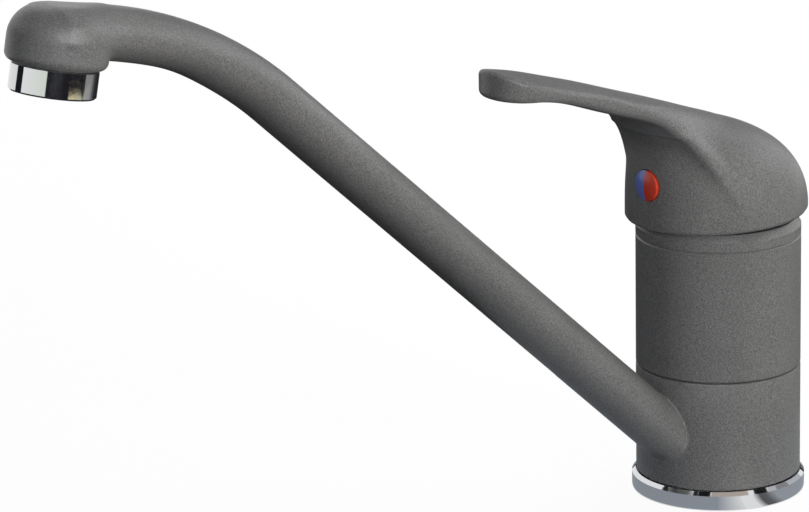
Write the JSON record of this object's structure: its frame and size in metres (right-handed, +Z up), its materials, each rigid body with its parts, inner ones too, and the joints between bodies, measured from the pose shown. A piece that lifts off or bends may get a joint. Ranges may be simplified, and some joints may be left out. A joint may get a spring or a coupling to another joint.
{
  "type": "mixer tap",
  "caption": "Single-lever kitchen mixer tap in textured graphite grey, with a long swivelling oval tube spout, a chrome aerator and a chrome base ring.",
  "frame": {"origin": "on the body's axis, level with the base ring's underside, where the tap stands on the worktop", "axes": "+Z up along the body's axis; the spout and the lever point along -Y; the hot side is +X"},
  "size_m": [0.0552, 0.2767, 0.1876],
  "materials": {
    "chrome": "polished",
    "graphite_paint": "fine textured",
    "rubber": "matte",
    "steel": "bright",
    "white_plastic": "matte",
    "grey_plastic": "matte",
    "ceramic": "lapped",
    "brass": "machined",
    "blue_plastic": "glossy",
    "red_plastic": "glossy"
  },
  "bodies": {
    "base": {"base_ring": "chrome", "base_seal": "rubber", "retaining_clip": "steel", "body_casting": "graphite_paint", "lower_o_ring": "rubber", "upper_o_ring": "rubber", "lower_slide_ring": "white_plastic", "upper_slide_ring": "white_plastic", "cartridge_base": "grey_plastic", "cartridge_seals": "rubber", "fixed_disc": "ceramic", "cartridge_housing": "grey_plastic", "cartridge_nut": "brass", "cover_ring": "graphite_paint"},
    "spout": {"spout_casting": "graphite_paint", "aerator_housing": "chrome", "aerator_screen": "steel", "aerator_insert": "grey_plastic", "aerator_seal": "rubber"},
    "rotor": {"cartridge_rotor": "white_plastic", "spindle_pin": "steel"},
    "handle": {"cartridge_spindle": "brass", "handle": "graphite_paint", "grub_screw": "steel", "indicator_blue": "blue_plastic", "indicator_red": "red_plastic"},
    "disc": {"moving_disc": "ceramic", "disc_carrier": "white_plastic"}
  },
  "joints": [
    {"name": "spout_swivel", "type": "hinge", "parent": "base", "child": "spout", "pos_m": [0, 0, 0.0227], "axis": [0, 0, 1], "continuous": true},
    {"name": "handle_turn", "type": "hinge", "parent": "base", "child": "rotor", "pos_m": [0, 0, 0.066], "axis": [0, 0, 1], "range_deg": [-45, 45]},
    {"name": "handle_lift", "type": "hinge", "parent": "rotor", "child": "handle", "pos_m": [0, 0, 0.066], "axis": [-1, 0, 0], "range_deg": [0, 25]},
    {"name": "disc_slide", "type": "slide", "parent": "rotor", "child": "disc", "axis": [0, -1, 0], "range_m": [0, 0.00325]}
  ],
  "couplings": [
    {"joint": "disc_slide", "follows": "handle_lift", "m_per_rad": 0.00744}
  ]
}
